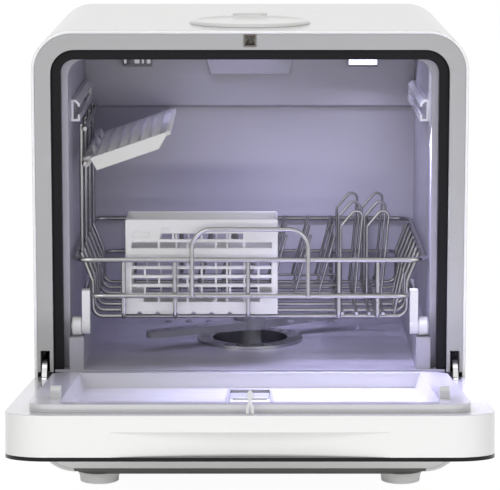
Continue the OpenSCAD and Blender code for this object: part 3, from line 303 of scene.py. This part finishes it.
def tube(path, r, sides=12, closed=False):
    """A round bar along a path, with flat ends where it isn't closed."""
    path = [Vector(p) for p in path]
    n = len(path)
    verts = []
    side = None
    for i, p in enumerate(path):
        before = path[i - 1] if i or closed else p
        after = path[(i + 1) % n] if i < n - 1 or closed else p
        ahead = (after - before).normalized()
        if side is None:
            side = ahead.orthogonal().normalized()
        side = (side - ahead * side.dot(ahead)).normalized()
        up = ahead.cross(side)
        for k in range(sides):
            a = 2 * math.pi * k / sides
            verts.append(p + side * (r * math.cos(a)) + up * (r * math.sin(a)))
    faces = []
    for i in range(n if closed else n - 1):
        j = (i + 1) % n
        for k in range(sides):
            m = (k + 1) % sides
            faces.append((i * sides + k, i * sides + m, j * sides + m, j * sides + k))
    if not closed:
        faces.append(tuple(range(sides))[::-1])
        faces.append(tuple((n - 1) * sides + k for k in range(sides)))
    return verts, faces


def lathe(profile, place, axis, sides=32):
    """A turned form: profile is (radius, height) pairs from one end to the other, along axis from place."""
    axis = Vector(axis).normalized()
    side = axis.orthogonal().normalized()
    up = axis.cross(side)
    place = Vector(place)
    verts = []
    for r, h in profile:
        for k in range(sides):
            a = 2 * math.pi * k / sides
            verts.append(place + axis * h + side * (r * math.cos(a)) + up * (r * math.sin(a)))
    faces = []
    for i in range(len(profile) - 1):
        for k in range(sides):
            m = (k + 1) % sides
            faces.append((i * sides + k, i * sides + m, (i + 1) * sides + m, (i + 1) * sides + k))
    faces.append(tuple(range(sides))[::-1])
    faces.append(tuple((len(profile) - 1) * sides + k for k in range(sides)))
    return verts, faces


def slab(outline, base, u, v, w, thick, ease=0.0):
    """A flat plate: outline in u and v, standing thick along w from base, its front edge eased."""
    base, u, v, w = Vector(base), Vector(u), Vector(v), Vector(w)
    middle = Vector((sum(p[0] for p in outline), sum(p[1] for p in outline))) / len(outline)
    rings = [(0, 0), (0, thick - ease), (ease, thick)] if ease else [(0, 0), (0, thick)]
    verts = []
    for inset, h in rings:
        for p in outline:
            q = Vector(p)
            d = middle - q
            q = q + d.normalized() * min(inset, d.length)
            verts.append(base + u * q.x + v * q.y + w * h)
    n = len(outline)
    faces = []
    for i in range(len(rings) - 1):
        for k in range(n):
            m = (k + 1) % n
            faces.append((i * n + k, i * n + m, (i + 1) * n + m, (i + 1) * n + k))
    faces.append(tuple(range(n))[::-1])
    faces.append(tuple((len(rings) - 1) * n + k for k in range(n)))
    return verts, faces


def round_rect(x0, y0, x1, y1, r, steps=6):
    """Corner points of a rectangle with round corners, anticlockwise."""
    pts = []
    corners = ((x1 - r, y1 - r, 0), (x0 + r, y1 - r, 90), (x0 + r, y0 + r, 180), (x1 - r, y0 + r, 270))
    for cx, cy, start in corners:
        for k in range(steps + 1):
            a = math.radians(start + 90 * k / steps)
            pts.append((cx + r * math.cos(a), cy + r * math.sin(a)))
    return pts


X, Y, Z = Vector((1, 0, 0)), Vector((0, 1, 0)), Vector((0, 0, 1))


# ---- Cabinet ---------------------------------------------------------------------------------
case_lo, case_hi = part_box("outer_casing")
bezel_lo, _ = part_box("front_bezel")
# Radius of the casing's upper corners, seen from the front
CORNER = 40 * MM


def front_highlight_rim():
    """A bead in a brighter white than the casing along the rolled edge where the casing's front meets the
    face frame: a painted highlight for that edge's gleam.
    """
    r = 0.9 * MM
    inset = 1.2 * MM
    x = case_hi.x - inset
    top = case_hi.z - inset
    arc = CORNER - inset
    steps = 12
    foot = bezel_lo.z + 2 * MM
    path = [(-x, case_lo.y, foot)]
    for k in range(steps + 1):
        a = math.radians(180 - 90 * k / steps)
        path.append((-x + arc + arc * math.cos(a), case_lo.y, top - arc + arc * math.sin(a)))
    for k in range(steps + 1):
        a = math.radians(90 - 90 * k / steps)
        path.append((x - arc + arc * math.cos(a), case_lo.y, top - arc + arc * math.sin(a)))
    path.append((x, case_lo.y, foot))
    piece("front_highlight_rim", "cabinet", "rim", [tube(path, r, 10)])


def screws(name, body, places, axis, r=3.2 * MM):
    """Pan-head screws: a turned head with two crossed bars on it, which read as its cross recess."""
    parts = []
    axis = Vector(axis)
    side = axis.orthogonal().normalized()
    up = axis.cross(side)
    for p in places:
        p = Vector(p)
        parts.append(lathe([(r * 1.25, 0), (r * 1.25, 0.25 * MM), (r, 0.3 * MM), (r * 0.97, 0.9 * MM),
                            (r * 0.8, 1.3 * MM), (r * 0.62, 1.35 * MM)], p, axis, 20))
        for a in (side, up):
            b = axis.cross(a)
            parts.append(slab([(-r * 0.55, -r * 0.09), (r * 0.55, -r * 0.09), (r * 0.55, r * 0.09),
                               (-r * 0.55, r * 0.09)], p + axis * 1.3 * MM, a, b, axis, 0.12 * MM))
    piece(name, body, "screw", parts)


rear_lo, rear_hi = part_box("rear_panel")


def rear_screws():
    """Eight screws round the edge of the rear panel."""
    inset = 9 * MM
    above = 60 * MM
    xs = (rear_lo.x + inset, 0, rear_hi.x - inset)
    zs = (rear_lo.z + above, (rear_lo.z + rear_hi.z) / 2, rear_hi.z - above)
    places = [(x, rear_hi.y, z) for x in (xs[0], xs[2]) for z in zs]
    places += [(0, rear_hi.y, z) for z in (rear_lo.z + inset, rear_hi.z - inset)]
    screws("rear_screws", "cabinet", places, Y)


# From the end of the lamps' box to the middle of a lamp
LAMP_INSET = 19 * MM


def lamp_lenses():
    """A crowned lens on each lamp, with ribs on its front: the right lamp is lit, the left one dark."""
    lo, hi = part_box("lamps")
    half = 15.5 * MM
    middle = hi.x - LAMP_INSET
    crown = 1.2 * MM
    z0, z1 = lo.z + 2.5 * MM, lo.z + 21 * MM
    # The front is a grid with cols + 1 columns of points, numbered 0 to last from the bottom up.
    cols, last = 8, 4
    up = last + 1
    for side, finish, name in ((-1, "lamp_off", "lamp_lens_left"), (1, "lamp_on", "lamp_lens_right")):
        columns = []
        for i in range(cols + 1):
            t = i / cols * 2 - 1
            x, y = side * middle + half * t, lo.y - crown * (1 - t * t)
            columns.append([(x, y, z0 + (z1 - z0) * j / last) for j in range(up)])
        verts = [v for column in columns for v in column]
        faces = [(i * up + j, i * up + j + 1, (i + 1) * up + j + 1, (i + 1) * up + j)
                 for i in range(cols) for j in range(last)]
        back = [(x, lo.y + 0.6 * MM, z) for x, _, z in verts]
        n = len(verts)
        edge = list(range(up)) + [i * up + last for i in range(1, cols + 1)]
        edge += [cols * up + j for j in range(last - 1, -1, -1)] + [i * up for i in range(cols - 1, 0, -1)]
        walls = [(edge[k], edge[(k + 1) % len(edge)], n + edge[(k + 1) % len(edge)], n + edge[k])
                 for k in range(len(edge))]
        piece(name, "cabinet", finish,
              [(verts + back, faces + [tuple(n + i for i in f) for f in faces] + walls)])
        ribs = []
        for k, wide in ((-2, 1.6), (0, 3.0), (1, 1.2), (2, 2.2)):
            x = side * middle + k * 6.4 * MM
            ribs.append(slab(round_rect(-wide * MM, 0, wide * MM, z1 - z0 - 2 * MM, 0.8 * MM, 3),
                             (x, lo.y - 1.0 * MM, z0 + 1 * MM), X, Z, -Y, 1.0 * MM, 0.4 * MM))
        piece(name.replace("lens", "ribs"), "cabinet", "lamp_rib" if side < 0 else "lamp_on", ribs)


def foot_pads():
    """A rubber ring round the lower end of each foot."""
    r = 8.5 * MM
    for n in FEET:
        lo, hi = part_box(n)
        c = ((lo.x + hi.x) / 2, (lo.y + hi.y) / 2, lo.z)
        piece(n.replace("foot_", "foot_pad_"), "cabinet", "rubber",
              [lathe([(r - 0.6 * MM, 0), (r, 0.4 * MM), (r, 1.6 * MM), (r - 0.5 * MM, 2.0 * MM)], c, Z)])


def foot_flares():
    """The flared boss that each foot grows out of, under the base."""
    base_lo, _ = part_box("base_plate")
    steps = 10
    start = 2.9 * MM
    flare = 4.5 * MM
    for n in FEET:
        lo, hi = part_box(n)
        c = ((lo.x + hi.x) / 2, (lo.y + hi.y) / 2, lo.z)
        r = (hi.x - lo.x) / 2
        top = base_lo.z - lo.z + 0.3 * MM
        profile = [(r * 0.9, 2.6 * MM), (r + 0.4 * MM, start)]
        for k in range(1, steps + 1):
            t = k / steps
            profile.append((r + 0.4 * MM + flare * t ** 3, start + (top - start) * t))
        piece(n.replace("foot_", "foot_flare_"), "cabinet", "foot", [lathe(profile, c, Z, 40)])


def catch_jaws():
    """The crossed spring leaves at the bottom of the catch's socket."""
    lo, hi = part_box("latch_catch")
    middle = (lo + hi) / 2
    y = lo.y + 20.4 * MM
    wide, high = 3.4 * MM, 4.5 * MM
    parts = []
    for sx in (-1, 1):
        a = Vector((middle.x - wide * sx, y, middle.z - high))
        b = Vector((middle.x + wide * sx, y, middle.z + high))
        parts.append(tube([a, b], 0.7 * MM, 8))
    piece("catch_jaws", "cabinet", "chrome", parts)


front_highlight_rim()
rear_screws()
lamp_lenses()
foot_flares()
foot_pads()
catch_jaws()


# ---- Rack ------------------------------------------------------------------------------------
def wheel_rings():
    """A raised ring on the face of each wheel that is towards the middle of the rack."""
    inset = 2.6 * MM
    steps = 32
    for n in WHEELS:
        lo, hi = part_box(n)
        x = hi.x if "left" in n else lo.x
        c = (x, (lo.y + hi.y) / 2, (lo.z + hi.z) / 2)
        r = (hi.z - lo.z) / 2
        ring = [(c[0], c[1] + (r - inset) * math.cos(a), c[2] + (r - inset) * math.sin(a))
                for a in [2 * math.pi * k / steps for k in range(steps)]]
        piece(n + "_ring", n, "wheel", [tube(ring, 0.5 * MM, 8, True)])


wheel_rings()


def basket_trim():
    """Raised trim on the basket: the handle pocket's outline, two pairs of small frames and four ribs
    on its front, and a bead round its rim. Places are in mm from its left end and down from its top."""
    lo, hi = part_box("cutlery_basket")
    front = lo.y + 2 * MM
    z = hi.z
    pocket = [(7, 14), (9, 10.5), (14, 10), (17, 12.2), (24, 12.2), (25, 14.8), (24, 17.2), (9, 17.2),
              (7.3, 16)]
    path = [(lo.x + u * MM, front, z - v * MM) for u, v in pocket]
    parts = [tube(path, 0.45 * MM, 8, True)]
    for u in (36, 110):
        for k in range(2):
            path = [(lo.x + (u + a) * MM, front, z - (7.6 + 2.2 * k + b) * MM)
                    for a, b in ((0, 0), (9, 0), (9, 1.0), (0, 1.0))]
            parts.append(tube(path, 0.3 * MM, 6, True))
    for k in range(4):
        u = 140 + k * 1.9
        rib = [(lo.x + u * MM, front, z - 80 * MM), (lo.x + u * MM, front, z - 87 * MM)]
        parts.append(tube(rib, 0.3 * MM, 6))
    rim = [(lo.x + 1 * MM, lo.y + 3 * MM), (hi.x - 1 * MM, lo.y + 3 * MM), (hi.x - 1 * MM, hi.y - 1 * MM),
           (lo.x + 1 * MM, hi.y - 1 * MM)]
    parts.append(tube([(x, y, z) for x, y in rim], 1.1 * MM, 8, True))
    piece("basket_trim", "cutlery_basket", "basket", parts)


basket_trim()


def arm_nozzles():
    """Spray nozzles in a row along the spray arm."""
    lo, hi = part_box("spray_arm")
    middle = (lo + hi) / 2
    along_x = hi.x - lo.x > hi.y - lo.y
    half = max(hi.x - lo.x, hi.y - lo.y) / 2
    parts = []
    for k in (-4, -3, -2, 2, 3, 4):
        shift = half * 0.2 * k
        dx, dy = (shift, 0) if along_x else (0, shift)
        p = (middle.x + dx, middle.y + dy, hi.z - 7 * MM)
        profile = [(4.2 * MM, 0), (3.4 * MM, 1.6 * MM), (2.2 * MM, 2.0 * MM), (1.4 * MM, 1.2 * MM)]
        parts.append(lathe(profile, p, Z, 20))
    piece("arm_nozzles", "spray_arm", "arm", parts)


arm_nozzles()


# ---- Stage and light -------------------------------------------------------------------------
def seen_white(tree, strength):
    """An emission of that strength, and a factor that is 1 for rays from the camera, gloss and glass."""
    path = tree.nodes.new("ShaderNodeLightPath")
    fac = path.outputs["Is Camera Ray"]
    for ray in ("Is Glossy Ray", "Is Transmission Ray"):
        both = tree.nodes.new("ShaderNodeMath")
        both.operation = "MAXIMUM"
        tree.links.new(fac, both.inputs[0])
        tree.links.new(path.outputs[ray], both.inputs[1])
        fac = both.outputs[0]
    emit = tree.nodes.new("ShaderNodeEmission")
    emit.inputs["Strength"].default_value = strength
    return emit.outputs[0], fac


FLOOR_HALF = 6.0
FLOOR_GLOW = 1.14
SHADOW_SHARE = 0.16
WORLD_LIGHT = 0.40
floor_mesh = bpy.data.meshes.new("floor")
floor_mesh.from_pydata([(x, y, 0) for x, y in ((-FLOOR_HALF, -FLOOR_HALF), (FLOOR_HALF, -FLOOR_HALF),
                                               (FLOOR_HALF, FLOOR_HALF), (-FLOOR_HALF, FLOOR_HALF))],
                       [], [(0, 1, 2, 3)])
floor = bpy.data.objects.new("floor", floor_mesh)
bpy.context.scene.collection.objects.link(floor)
mat, tree, bsdf = node_tree("floor_pale")
bsdf.inputs["Base Color"].default_value = (0.8, 0.8, 0.8, 1)
bsdf.inputs["Roughness"].default_value = 0.9
bsdf.inputs["Specular IOR Level"].default_value = 0.1
white, fac = seen_white(tree, FLOOR_GLOW)
share = tree.nodes.new("ShaderNodeMath")
share.operation = "MULTIPLY"
share.inputs[1].default_value = 1 - SHADOW_SHARE
tree.links.new(fac, share.inputs[0])
mix = tree.nodes.new("ShaderNodeMixShader")
tree.links.new(share.outputs[0], mix.inputs[0])
tree.links.new(bsdf.outputs[0], mix.inputs[1])
tree.links.new(white, mix.inputs[2])
tree.links.new(mix.outputs[0], tree.nodes["Material Output"].inputs["Surface"])
floor_mesh.materials.append(mat)

world = bpy.data.worlds.new("world")
bpy.context.scene.world = world
world.use_nodes = True
wt = world.node_tree
bg = wt.nodes["Background"]
bg.inputs["Color"].default_value = (1, 1, 1, 1)
bg.inputs["Strength"].default_value = WORLD_LIGHT
white, fac = seen_white(wt, 1.0)
mix = wt.nodes.new("ShaderNodeMixShader")
wt.links.new(fac, mix.inputs[0])
wt.links.new(bg.outputs[0], mix.inputs[1])
wt.links.new(white, mix.inputs[2])
wt.links.new(mix.outputs[0], wt.nodes["World Output"].inputs["Surface"])


def area_light(name, place, aim, size, power, color=(1, 1, 1)):
    data = bpy.data.lights.new(name, "AREA")
    data.shape = "RECTANGLE"
    data.size, data.size_y = size
    data.energy = power
    data.color = color
    lamp = bpy.data.objects.new(name, data)
    lamp.location = place
    lamp.rotation_euler = (Vector(aim) - Vector(place)).to_track_quat("-Z", "Y").to_euler()
    bpy.context.scene.collection.objects.link(lamp)
    return lamp


area_light("key", (-1.2, -2.0, 1.5), (0, 0, 0.2), size=(1.2, 1.2), power=12)
area_light("fill", (1.5, -2.0, 1.1), (0, 0, 0.2), size=(1.4, 1.4), power=9)
area_light("top", (0, 0.2, 2.2), (0, 0, 0.3), size=(1.8, 1.8), power=5)
low = area_light("low", (0, -2.4, 0.10), (0, -0.1, 0.04), size=(1.6, 0.12), power=15)
low.visible_glossy = False

LAVENDER = (0.62, 0.60, 1.0)
tub_lo, tub_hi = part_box("tub_wrapper")
lamps_lo, lamps_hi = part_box("lamps")
middle_y = (tub_lo.y + tub_hi.y) / 2
lamp_x = lamps_hi.x - LAMP_INSET


def inner_light(name, place, aim, size, power, color, spread=180):
    """A light inside the tub that lights it without showing itself, in a beam of that many degrees."""
    lamp = area_light(name, place, aim, size, power, color)
    lamp.data.spread = math.radians(spread)
    lamp.visible_camera = False
    lamp.visible_glossy = False


inner_light("tub_glow", (0.02, middle_y, tub_hi.z - 0.012), (0.03, middle_y + 0.01, 0.1),
            size=(0.28, 0.18), power=0.22, color=LAVENDER, spread=120)
inner_light("led_right", (lamp_x, lamps_lo.y - 0.02, lamps_lo.z + 0.004), (0.10, -0.05, 0.05),
            size=(0.03, 0.012), power=0.10, color=(0.70, 0.68, 1.0))
inner_light("led_wall", (tub_hi.x - 0.035, tub_lo.y + 0.035, tub_hi.z - 0.016),
            (tub_hi.x, tub_lo.y + 0.02, tub_hi.z - 0.05), size=(0.01, 0.06), power=0.02,
            color=(0.85, 0.87, 1.0), spread=120)
inner_light("back_glow", (0.09, tub_lo.y + 0.03, 0.41), (0.04, tub_hi.y, 0.10),
            size=(0.16, 0.03), power=0.17, color=(0.68, 0.67, 1.0), spread=80)
inner_light("door_glow", (0.08, tub_lo.y - 0.01, 0.36), (0.12, tub_lo.y - 0.20, 0.10),
            size=(0.26, 0.03), power=1.7, color=LAVENDER, spread=110)
